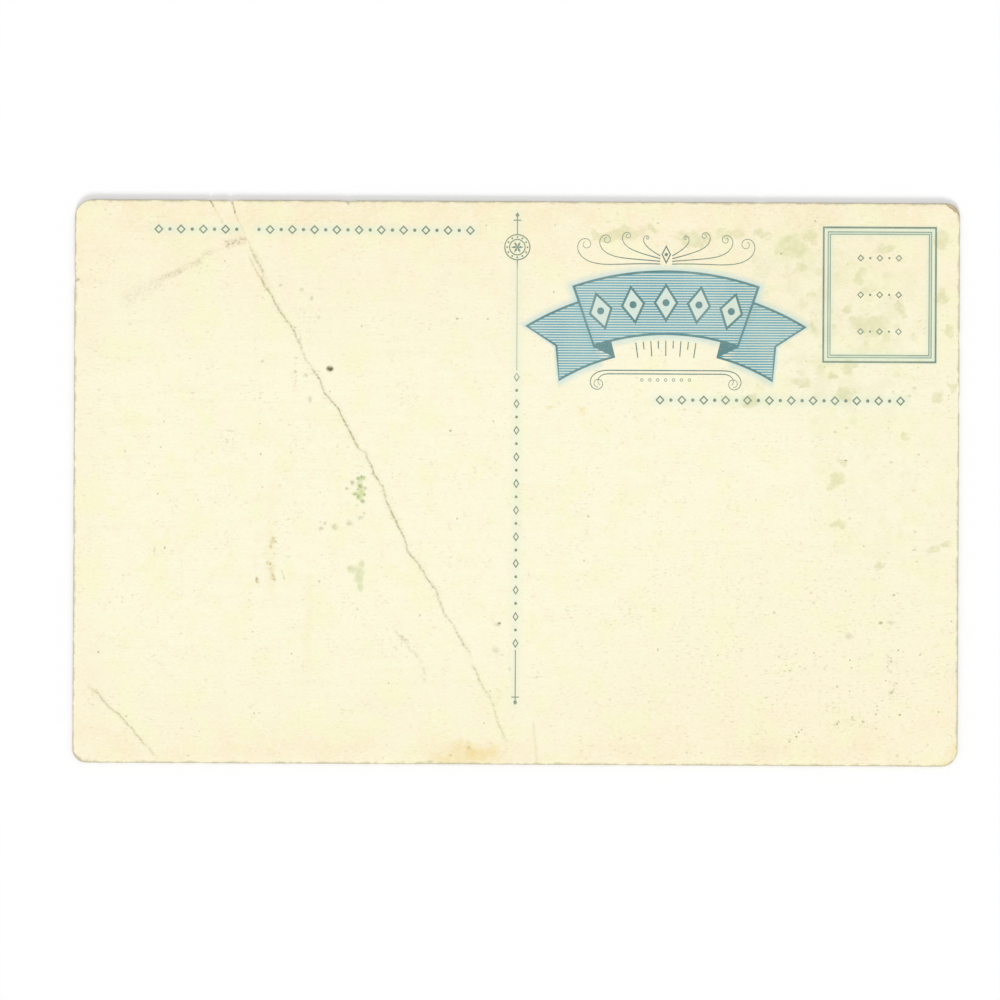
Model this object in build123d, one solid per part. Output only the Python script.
"""A worn postcard lying message side up: pasted board in three panels, two folding creases, printed films.

Millimetres. The origin is the middle of the card's footprint, on the picture side. +X runs to the right and
+Y to the top edge as the message side is read, and +Z comes out of the message side.
"""

from build123d import *
import math
import os

# The card, a standard size of five and a half by three and a half inches
CARD_WIDTH = 139.7
CARD_HEIGHT = 88.9
WORN_CORNER_RADIUS = 2.4
PICTURE_BORDER = 4.0

# Thicknesses, from the picture side up to the message side
PICTURE_FILM = 0.02
PICTURE_PLY = 0.09
CORE_PLY = 0.18
MESSAGE_PLY = 0.09
INK_FILM = 0.02

# The long crease runs from the top edge to the bottom edge, and the short one cuts off the lower left corner
CREASE_TOP_FROM_LEFT = 23.8
CREASE_BOTTOM_FROM_LEFT = 71.2
CORNER_CREASE_UP_LEFT_EDGE = 14.8
CORNER_CREASE_ALONG_BOTTOM = 14.4
CREASE_GAP = 0.06

# Stamp box, set in from the card's top right corner
STAMP_BOX_WIDTH = 18.0
STAMP_BOX_HEIGHT = 21.5
STAMP_RIGHT_MARGIN = 3.65
STAMP_TOP_MARGIN = 3.75
STAMP_OUTER_RULE = 0.28
STAMP_RULE_GAP = 0.5
STAMP_INNER_RULE = 0.12
STAMP_TINT_BAND = 0.24
STAMP_MARK_ROWS = 3
STAMP_MARK_ROW_PITCH = 5.8
STAMP_MARKS_PER_ROW = 5
STAMP_MARK_PITCH = 1.5
STAMP_MARK_SIZE = 1.1
STAMP_MARK_LINE = 0.15
STAMP_BEAD_RADIUS = 0.17

# Divider down the middle of the card
DIVIDER_TOP_MARGIN = 1.75
DIVIDER_BOTTOM_MARGIN = 9.4
DIVIDER_RULE = 0.15
DIVIDER_TIP_WIDTH = 0.6
DIVIDER_TIP_HEIGHT = 0.9
DIVIDER_CROSSBAR_WIDTH = 1.2
DIVIDER_CROSSBAR_OFFSET = 1.25
DIVIDER_ORNAMENT_GAP = 0.3
ROSETTE_RADIUS = 2.06
ROSETTE_LINE = 0.16
ROSETTE_INNER_RADIUS = 1.3
ROSETTE_BEADS = 12
ROSETTE_BEAD_RADIUS = 0.14
ROSETTE_PETALS = 6
ROSETTE_PETAL_WIDTH = 0.34
ROSETTE_CENTRE_FROM_TOP = 7.25
CHAIN_PITCH = 2.1
CHAIN_LINK_WIDTH = 0.95
CHAIN_LINK_HEIGHT = 1.5
CHAIN_TOP_FROM_TOP = 27.0
CHAIN_BOTTOM_FROM_BOTTOM = 18.4
CHAIN_LINE = 0.16
CHAIN_BEAD_RADIUS = 0.22

# Small ornaments of the address and message rules
LOZENGE_WIDTH = 1.45
LOZENGE_HEIGHT = 1.5
LOZENGE_LINE = 0.2
BEAD_RADIUS = 0.26
RULE_PITCH = 1.75
ADDRESS_RULE_FROM_DIVIDER = 21.9
ADDRESS_RULE_RIGHT_MARGIN = 8.55
ADDRESS_RULE_GAP = 0.7
MESSAGE_RULE_LEFT_MARGIN = 12.55
MESSAGE_RULE_FROM_DIVIDER = 6.7
MESSAGE_RULE_FROM_TOP = 4.65
RULE_CREASE_CLEARANCE = 0.2

# Heading between the divider and the stamp box: an arched ribbon with hatching, scrolls, rays and a foot rule
HEADING_FROM_DIVIDER = 1.3
HEADING_FROM_STAMP_BOX = 2.5
HEADING_TOP_MARGIN = 4.8
SCROLL_HEADROOM = 6.0
BANNER_HEIGHT = 10.2
BANNER_RADIUS = 40.0
BANNER_LINE = 0.34
TAIL_REACH = 7.4
TAIL_DROP = 2.6
TAIL_FOLD = 3.4
TAIL_NOTCH = 2.6
HATCH_PITCH = 0.41
HATCH_LINE = 0.2
BANNER_LOZENGE_MARGIN = 1.0
BANNER_LOZENGE_PITCH = 5.2
BANNER_LOZENGE_WIDTH = 3.9
BANNER_LOZENGE_HEIGHT = 6.2
BANNER_BEAD_RADIUS = 0.55
FINIAL_WIDTH = 1.5
FINIAL_HEIGHT = 3.0
FINIAL_LINE = 0.18
PEN_LINE = 0.15
PEN_POINT = 0.07
PEN_STEPS = 36
SCROLL_STROKES = 4
SCROLL_LIFT = 1.0
SCROLL_SPACING = 0.43
SCROLL_FROM_MIDDLE = 0.95
SCROLL_LENGTH = 20.0
SCROLL_SHORTENING = 4.6
RAYS = 9
RAY_PITCH = 1.4
RAY_LENGTH = 2.4
RAY_GAP = 0.9
FOOT_FROM_BANNER = 5.6
FOOT_RULE_WIDTH = 17.0
FOOT_RULE_GAP = 0.55
FOOT_CURL_LENGTH = 10.5
FOOT_HOOK_LENGTH = 3.4
FOOT_CURL_DROP = 3.2
FOOT_BEADS = 7
FOOT_BEAD_RADIUS = 0.24
FOOT_BEAD_PITCH = 1.25
FOOT_BEAD_GAP = 0.7

# How the pen strokes turn, in degrees: each stroke bends evenly and its end curls up
SCROLL_HEADING = 2.0
SCROLL_HEADING_RISE = 3.0
SCROLL_BEND = -18.0
SCROLL_BEND_STEP = 14.0
SCROLL_CURL = 540.0
SCROLL_TIGHTENING = 5
FOOT_BEND = 10.0
FOOT_CURL = -560.0
FOOT_HOOK = -150.0
FOOT_TIGHTENING = 2

# Edges of the card and levels of its layers
LEFT = -CARD_WIDTH / 2
RIGHT = CARD_WIDTH / 2
BOTTOM = -CARD_HEIGHT / 2
TOP = CARD_HEIGHT / 2
PICTURE_PLY_Z = PICTURE_FILM
CORE_PLY_Z = PICTURE_PLY_Z + PICTURE_PLY
MESSAGE_PLY_Z = CORE_PLY_Z + CORE_PLY
INK_Z = MESSAGE_PLY_Z + MESSAGE_PLY
FOLD_Z = INK_Z + INK_FILM
DIVIDER_X = 0.0

# Ends of the two creases
CREASE_TOP = Vector(LEFT + CREASE_TOP_FROM_LEFT, TOP)
CREASE_BOTTOM = Vector(LEFT + CREASE_BOTTOM_FROM_LEFT, BOTTOM)
CORNER_CREASE_LEFT = Vector(LEFT, BOTTOM + CORNER_CREASE_UP_LEFT_EDGE)
CORNER_CREASE_BOTTOM = Vector(LEFT + CORNER_CREASE_ALONG_BOTTOM, BOTTOM)

# Stamp box and heading, worked out from the margins
STAMP_RIGHT = RIGHT - STAMP_RIGHT_MARGIN
STAMP_LEFT = STAMP_RIGHT - STAMP_BOX_WIDTH
STAMP_MIDDLE = Vector(STAMP_RIGHT - STAMP_BOX_WIDTH / 2, TOP - STAMP_TOP_MARGIN - STAMP_BOX_HEIGHT / 2)
HEADING_LEFT = DIVIDER_X + HEADING_FROM_DIVIDER
HEADING_RIGHT = STAMP_LEFT - HEADING_FROM_STAMP_BOX
HEADING_X = (HEADING_LEFT + HEADING_RIGHT) / 2
HEADING_HALF_WIDTH = (HEADING_RIGHT - HEADING_LEFT) / 2
BANNER_INNER = BANNER_RADIUS - BANNER_HEIGHT / 2
BANNER_OUTER = BANNER_RADIUS + BANNER_HEIGHT / 2
BANNER_CREST_Y = TOP - HEADING_TOP_MARGIN - SCROLL_HEADROOM
ARCH_CENTRE = Pos(HEADING_X, BANNER_CREST_Y - BANNER_OUTER)
FRONT_ANGLE = math.degrees(math.asin((HEADING_HALF_WIDTH - TAIL_REACH) / BANNER_OUTER))
TAIL_ANGLE = math.degrees(math.asin(HEADING_HALF_WIDTH / (BANNER_OUTER - TAIL_DROP)))
FOOT_Y = BANNER_CREST_Y - BANNER_HEIGHT - FOOT_FROM_BANNER
ADDRESS_RULE_Y = FOOT_Y - FOOT_CURL_DROP - ADDRESS_RULE_GAP - LOZENGE_HEIGHT / 2
MESSAGE_RULE_Y = TOP - MESSAGE_RULE_FROM_TOP


def half_plane(start, end, clearance):
    """A large face on the left of the line from start to end, kept back from the line by the clearance."""
    reach = CARD_WIDTH + CARD_HEIGHT
    along = (end - start).normalized()
    across = Vector(-along.Y, along.X)
    near = across * clearance
    far = across * reach
    first = start - along * reach
    last = end + along * reach
    return Polygon(first + near, last + near, last + far, first + far, align=None)


def panels():
    """The regions of the main panel, the flap and the corner, cut apart at the two creases."""
    gap = CREASE_GAP / 2
    flap_side = half_plane(CREASE_BOTTOM, CREASE_TOP, gap)
    flap_side &= half_plane(CORNER_CREASE_LEFT, CORNER_CREASE_BOTTOM, gap)
    return {
        "main": half_plane(CREASE_TOP, CREASE_BOTTOM, gap),
        "flap": flap_side,
        "corner": half_plane(CORNER_CREASE_BOTTOM, CORNER_CREASE_LEFT, gap),
    }


def board_layers():
    """Each panel's picture print and three plies."""
    card = RectangleRounded(CARD_WIDTH, CARD_HEIGHT, WORN_CORNER_RADIUS)
    picture = Rectangle(CARD_WIDTH - 2 * PICTURE_BORDER, CARD_HEIGHT - 2 * PICTURE_BORDER)
    layers = {}
    for panel, region in panels().items():
        layers[panel + "_picture_print"] = layer(picture & region, 0, PICTURE_FILM)
        layers[panel + "_picture_ply"] = layer(card & region, PICTURE_PLY_Z, PICTURE_PLY)
        layers[panel + "_core_ply"] = layer(card & region, CORE_PLY_Z, CORE_PLY)
        layers[panel + "_message_ply"] = layer(card & region, MESSAGE_PLY_Z, MESSAGE_PLY)
    return layers


def layer(shape, z, thickness):
    """A flat shape given its thickness at its level."""
    return extrude(Pos(0, 0, z) * shape, amount=thickness)


def ink(shape):
    """A printed shape as a film on the message side."""
    return layer(shape, INK_Z, INK_FILM)


def lozenge(width, height):
    """A filled lozenge round the origin."""
    return Polygon((width / 2, 0), (0, height / 2), (-width / 2, 0), (0, -height / 2), align=None)


def open_lozenge(width, height, line):
    """A lozenge drawn as an outline of even line width."""
    half_depth = width * height / (2 * math.hypot(width, height))
    kept = 1 - line / half_depth
    return lozenge(width, height) - lozenge(width * kept, height * kept)


def frame_rule(width, height, line):
    """A rectangular rule, measured over its outer edge."""
    return Rectangle(width, height) - Rectangle(width - 2 * line, height - 2 * line)


def spread(room, pitch):
    """Places across a room, centred on zero, as near to the pitch as an even spacing comes."""
    steps = max(1, round(room / pitch))
    return [room * (i / steps - 0.5) for i in range(steps + 1)]


def ornament_row(count, pitch, width, height, line, bead):
    """Lozenges and beads in turn, in a row centred on the origin, starting with a lozenge."""
    marks = []
    for i in range(count):
        mark = Circle(bead) if i % 2 else open_lozenge(width, height, line)
        marks.append(Pos((i - (count - 1) / 2) * pitch, 0) * mark)
    return marks


def rule_ornaments(first_x, last_x, y):
    """The ornaments of a rule, spread evenly between its two ends."""
    length = last_x - first_x
    count = 2 * round((length - LOZENGE_WIDTH) / (2 * RULE_PITCH)) + 1
    pitch = (length - LOZENGE_WIDTH) / (count - 1)
    row = ornament_row(count, pitch, LOZENGE_WIDTH, LOZENGE_HEIGHT, LOZENGE_LINE, BEAD_RADIUS)
    return [Pos((first_x + last_x) / 2, y) * mark for mark in row]


def crease_distance(point):
    """How far a point lies from the long crease: above zero on the main panel, below zero on the flap."""
    along = (CREASE_TOP - CREASE_BOTTOM).normalized()
    across = Vector(along.Y, -along.X)
    return (point - CREASE_BOTTOM).dot(across)


def message_rules():
    """The message rule in two nodes, with the ornaments that would touch the crease left out."""
    first_x = LEFT + MESSAGE_RULE_LEFT_MARGIN
    last_x = DIVIDER_X - MESSAGE_RULE_FROM_DIVIDER
    on_flap = []
    on_main = []
    for mark in rule_ornaments(first_x, last_x, MESSAGE_RULE_Y):
        distance = crease_distance(mark.center())
        reach = mark.bounding_box().size.X / 2 + RULE_CREASE_CLEARANCE
        if distance < -reach:
            on_flap.append(mark)
        if distance > reach:
            on_main.append(mark)
    return {
        "message_rule_on_flap": ink(Sketch() + on_flap),
        "message_rule_on_main": ink(Sketch() + on_main),
    }


def address_rule():
    """The row of ornaments over the address space."""
    first_x = DIVIDER_X + ADDRESS_RULE_FROM_DIVIDER
    last_x = RIGHT - ADDRESS_RULE_RIGHT_MARGIN
    return {"address_rule": ink(Sketch() + rule_ornaments(first_x, last_x, ADDRESS_RULE_Y))}


def stamp_box():
    """The stamp box: a bold outer rule, a pair of fine rules with a tint between them, and rows of marks."""
    place = Pos(STAMP_MIDDLE.X, STAMP_MIDDLE.Y)
    outer = frame_rule(STAMP_BOX_WIDTH, STAMP_BOX_HEIGHT, STAMP_OUTER_RULE)
    inset = STAMP_OUTER_RULE + STAMP_RULE_GAP
    fine_rules = Sketch()
    for step in (inset, inset + STAMP_INNER_RULE + STAMP_TINT_BAND):
        fine_rules += frame_rule(STAMP_BOX_WIDTH - 2 * step, STAMP_BOX_HEIGHT - 2 * step, STAMP_INNER_RULE)
    step = inset + STAMP_INNER_RULE
    tint = frame_rule(STAMP_BOX_WIDTH - 2 * step, STAMP_BOX_HEIGHT - 2 * step, STAMP_TINT_BAND)
    marks = Sketch()
    for row in range(STAMP_MARK_ROWS):
        y = (row - (STAMP_MARK_ROWS - 1) / 2) * STAMP_MARK_ROW_PITCH
        marks += [Pos(0, y) * mark for mark in ornament_row(
            STAMP_MARKS_PER_ROW, STAMP_MARK_PITCH, STAMP_MARK_SIZE, STAMP_MARK_SIZE, STAMP_MARK_LINE,
            STAMP_BEAD_RADIUS)]
    return {
        "stamp_box_outer_rule": ink(place * outer),
        "stamp_box_inner_rules": ink(place * fine_rules),
        "stamp_box_tint": ink(place * tint),
        "stamp_box_marks": ink(place * marks),
    }


def divider():
    """The divider: a fine rule with tips and crossbars, a rosette near its top and a chain below that."""
    top = TOP - DIVIDER_TOP_MARGIN
    bottom = BOTTOM + DIVIDER_BOTTOM_MARGIN
    rosette_y = TOP - ROSETTE_CENTRE_FROM_TOP
    chain_top = TOP - CHAIN_TOP_FROM_TOP
    chain_bottom = BOTTOM + CHAIN_BOTTOM_FROM_BOTTOM
    chain_middle = (chain_top + chain_bottom) / 2
    runs = [
        (top - DIVIDER_TIP_HEIGHT / 2, rosette_y + ROSETTE_RADIUS),
        (rosette_y - ROSETTE_RADIUS, chain_top + DIVIDER_ORNAMENT_GAP),
        (chain_bottom - DIVIDER_ORNAMENT_GAP, bottom + DIVIDER_TIP_HEIGHT / 2),
    ]
    rule = Sketch()
    for high, low in runs:
        rule += Pos(DIVIDER_X, (high + low) / 2) * Rectangle(DIVIDER_RULE, high - low)
    tip = lozenge(DIVIDER_TIP_WIDTH, DIVIDER_TIP_HEIGHT)
    crossbar = Rectangle(DIVIDER_CROSSBAR_WIDTH, DIVIDER_RULE)
    for end, inward in ((top, -1), (bottom, 1)):
        rule += Pos(DIVIDER_X, end + inward * DIVIDER_TIP_HEIGHT / 2) * tip
        rule += Pos(DIVIDER_X, end + inward * DIVIDER_CROSSBAR_OFFSET) * crossbar
    links = (open_lozenge(CHAIN_LINK_WIDTH, CHAIN_LINK_HEIGHT, CHAIN_LINE), Circle(CHAIN_BEAD_RADIUS))
    chain = Sketch()
    for i, y in enumerate(spread(chain_top - chain_bottom - CHAIN_LINK_HEIGHT, CHAIN_PITCH)):
        chain += Pos(DIVIDER_X, chain_middle - y) * links[i % 2]
    return {
        "divider_rule": ink(rule),
        "divider_rosette": ink(Pos(DIVIDER_X, rosette_y) * rosette()),
        "divider_chain": ink(chain),
    }


def rosette():
    """Two rings with a circle of beads between them and a ring of petals inside."""
    shape = Circle(ROSETTE_RADIUS) - Circle(ROSETTE_RADIUS - ROSETTE_LINE)
    shape += Circle(ROSETTE_INNER_RADIUS) - Circle(ROSETTE_INNER_RADIUS - ROSETTE_LINE)
    bead_circle = (ROSETTE_RADIUS - ROSETTE_LINE + ROSETTE_INNER_RADIUS) / 2
    shape += PolarLocations(bead_circle, ROSETTE_BEADS) * Circle(ROSETTE_BEAD_RADIUS)
    petal_length = ROSETTE_INNER_RADIUS - 2 * ROSETTE_LINE
    petal = Pos(petal_length / 2, 0) * lozenge(petal_length, ROSETTE_PETAL_WIDTH)
    shape += PolarLocations(0, ROSETTE_PETALS) * petal
    return shape


def arch_point(radius, angle):
    """A point of the heading's arch, round the arch's centre, with the angle counted from straight up."""
    turn = math.radians(angle)
    return Vector(radius * math.sin(turn), radius * math.cos(turn))


def arch_arc(radius, first, last):
    """An arc of the arch between two angles."""
    return ThreePointArc(*(arch_point(radius, angle) for angle in (first, (first + last) / 2, last)))


def along_arch(length):
    """The angle that a length along the banner's middle line takes up."""
    return math.degrees(length / BANNER_RADIUS)


def banner_front(inset):
    """The ribbon's front panel, drawn in from its edge by the inset."""
    angle = FRONT_ANGLE - along_arch(inset)
    low = BANNER_INNER + inset
    high = BANNER_OUTER - inset
    sides = [Line(arch_point(low, a), arch_point(high, a)) for a in (-angle, angle)]
    return make_face([arch_arc(low, -angle, angle), arch_arc(high, -angle, angle)] + sides)


def ribbon_tail(inset):
    """The right tail of the ribbon, behind the front panel, with a swallowtail end."""
    low = BANNER_INNER - TAIL_DROP + inset
    high = BANNER_OUTER - TAIL_DROP - inset
    middle = (low + high) / 2
    first = FRONT_ANGLE - along_arch(TAIL_FOLD - inset)
    last = TAIL_ANGLE - along_arch(inset * math.hypot(BANNER_HEIGHT / 2, TAIL_NOTCH) / (BANNER_HEIGHT / 2))
    notch = arch_point(middle, last - along_arch(TAIL_NOTCH))
    return make_face([
        arch_arc(low, first, last),
        Line(arch_point(low, last), notch),
        Line(notch, arch_point(high, last)),
        arch_arc(high, first, last),
        Line(arch_point(high, first), arch_point(low, first)),
    ])


def ribbon_fold():
    """The small triangle where the ribbon turns back under the right end of the front panel."""
    inner_angle = FRONT_ANGLE - along_arch(TAIL_FOLD)
    return Polygon(
        arch_point(BANNER_INNER, FRONT_ANGLE),
        arch_point(BANNER_INNER, inner_angle),
        arch_point(BANNER_INNER - TAIL_DROP, inner_angle),
        align=None,
    ) - banner_front(0)


def both_sides(shape):
    """A shape of the right half together with its mirror image on the left."""
    return Sketch() + [shape, mirror(shape, about=Plane.YZ)]


def hatch(region):
    """Fine level lines across a region."""
    box = region.bounding_box()
    lines = []
    for i in range(math.floor(box.min.Y / HATCH_PITCH), math.ceil(box.max.Y / HATCH_PITCH) + 1):
        lines.append(Pos(0, i * HATCH_PITCH) * Rectangle(2 * HEADING_HALF_WIDTH, HATCH_LINE))
    return (Sketch() + lines) & region


def banner_marks(open_marks):
    """The row of lozenges along the banner, filled, or drawn open with a bead in each."""
    front_length = 2 * math.radians(FRONT_ANGLE) * BANNER_RADIUS
    room = front_length - 2 * BANNER_LOZENGE_MARGIN - BANNER_LOZENGE_WIDTH
    mark = lozenge(BANNER_LOZENGE_WIDTH, BANNER_LOZENGE_HEIGHT)
    if open_marks:
        mark = open_lozenge(BANNER_LOZENGE_WIDTH, BANNER_LOZENGE_HEIGHT, BANNER_LINE)
        mark += Circle(BANNER_BEAD_RADIUS)
    shape = Sketch()
    for length in spread(room, BANNER_LOZENGE_PITCH):
        shape += Rot(0, 0, -along_arch(length)) * Pos(0, BANNER_RADIUS) * mark
    return shape


def pen_stroke(start, heading, length, bend, curl, tightening):
    """A drawn line that bends evenly and curls up at its end, and thins to a point there."""
    centre = [start]
    turns = []
    step = length / PEN_STEPS
    for i in range(PEN_STEPS):
        share = (i + 0.5) / PEN_STEPS
        turn = math.radians(heading + bend * share + curl * share ** tightening)
        turns.append(turn)
        centre.append(centre[-1] + Vector(math.cos(turn), math.sin(turn)) * step)
    turns.append(turns[-1])
    left = []
    right = []
    for i, (point, turn) in enumerate(zip(centre, turns)):
        half = (PEN_LINE + (PEN_POINT - PEN_LINE) * i / PEN_STEPS) / 2
        across = Vector(-math.sin(turn), math.cos(turn)) * half
        left.append(point + across)
        right.append(point - across)
    return make_face([
        Spline(*left),
        Line(left[-1], right[-1]),
        Spline(*reversed(right)),
        Line(right[0], left[0]),
    ])


def scrolls():
    """Pen flourishes over the right half of the arch, each shorter and steeper than the one below."""
    strokes = []
    for i in range(SCROLL_STROKES):
        start = Vector(SCROLL_FROM_MIDDLE, BANNER_OUTER + SCROLL_LIFT + i * SCROLL_SPACING)
        heading = SCROLL_HEADING + SCROLL_HEADING_RISE * i ** 2
        length = SCROLL_LENGTH - i * SCROLL_SHORTENING
        bend = SCROLL_BEND + i * SCROLL_BEND_STEP
        strokes.append(pen_stroke(start, heading, length, bend, SCROLL_CURL, SCROLL_TIGHTENING))
    return Sketch() + strokes


def finial():
    """The lozenge and bead between the two sets of scrolls."""
    middle = BANNER_OUTER + SCROLL_LIFT + FINIAL_HEIGHT / 2
    shape = Pos(0, middle) * open_lozenge(FINIAL_WIDTH, FINIAL_HEIGHT, FINIAL_LINE)
    shape += Pos(0, middle) * Circle(BEAD_RADIUS)
    return shape


def rays():
    """Short strokes that fan out below the middle of the banner."""
    shape = Sketch()
    for i in range(RAYS):
        angle = along_arch((i - (RAYS - 1) / 2) * RAY_PITCH)
        length = RAY_LENGTH if i % 2 == 0 else RAY_LENGTH / 2
        ray = Rectangle(PEN_LINE, length, align=(Align.CENTER, Align.MAX))
        shape += Rot(0, 0, -angle) * Pos(0, BANNER_INNER - RAY_GAP) * ray
    return shape


def foot_rule():
    """A double rule with ends that curl down, under the banner."""
    half = FOOT_RULE_WIDTH / 2
    rules = [Pos(0, -y) * Rectangle(FOOT_RULE_WIDTH, PEN_LINE) for y in (0, FOOT_RULE_GAP)]
    curls = [
        pen_stroke(Vector(half, 0), 0, FOOT_CURL_LENGTH, FOOT_BEND, FOOT_CURL, FOOT_TIGHTENING),
        pen_stroke(Vector(half, -FOOT_RULE_GAP), 0, FOOT_HOOK_LENGTH, FOOT_BEND, FOOT_HOOK, FOOT_TIGHTENING),
    ]
    return Sketch() + rules + [both_sides(curl) for curl in curls]


def heading():
    """The heading: an unlettered arched ribbon with its scrolls, rays, foot rule and beads."""
    front = banner_front(0)
    front_inside = banner_front(BANNER_LINE)
    fold = ribbon_fold()
    tail = ribbon_tail(0) - front - fold
    tail_inside = ribbon_tail(BANNER_LINE) - front - fold
    ribbon = both_sides(tail) + both_sides(fold) + front
    foot_beads = Sketch()
    for i in range(FOOT_BEADS):
        x = (i - (FOOT_BEADS - 1) / 2) * FOOT_BEAD_PITCH
        ring = Circle(FOOT_BEAD_RADIUS) - Circle(FOOT_BEAD_RADIUS - PEN_POINT)
        foot_beads += Pos(x, -FOOT_RULE_GAP - FOOT_BEAD_GAP - FOOT_BEAD_RADIUS) * ring
    foot_place = Pos(HEADING_X, FOOT_Y)
    return {
        "banner_outline": ink(ARCH_CENTRE * (front - front_inside)),
        "banner_hatching": ink(ARCH_CENTRE * hatch(front_inside - banner_marks(False))),
        "banner_lozenges": ink(ARCH_CENTRE * banner_marks(True)),
        "ribbon_tail_outlines": ink(ARCH_CENTRE * both_sides(tail - tail_inside)),
        "ribbon_tail_hatching": ink(ARCH_CENTRE * both_sides(hatch(tail_inside))),
        "ribbon_folds": ink(ARCH_CENTRE * both_sides(fold)),
        "heading_scrolls": ink(ARCH_CENTRE * (both_sides(scrolls()) - ribbon - finial())),
        "heading_finial": ink(ARCH_CENTRE * finial()),
        "heading_rays": ink(ARCH_CENTRE * rays()),
        "foot_rule": ink(foot_place * foot_rule()),
        "foot_beads": ink(foot_place * foot_beads),
    }


def main():
    """Makes every piece and writes each one to its own file."""
    pieces = board_layers() | stamp_box() | divider() | heading() | address_rule() | message_rules()
    os.makedirs("parts", exist_ok=True)
    for name, piece in pieces.items():
        export_step(piece, f"parts/{name}.step")
    print(f"{len(pieces)} pieces, fold line {FOLD_Z:.3f} mm above the picture face")
    for name, end, start in (
        ("long", CREASE_TOP, CREASE_BOTTOM),
        ("corner", CORNER_CREASE_LEFT, CORNER_CREASE_BOTTOM),
    ):
        middle = (start + end) / 2
        along = (end - start).normalized()
        print(f"{name} crease through {middle.X:.4f}, {middle.Y:.4f} along {along.X:.6f}, {along.Y:.6f}")


if __name__ == "__main__":
    main()
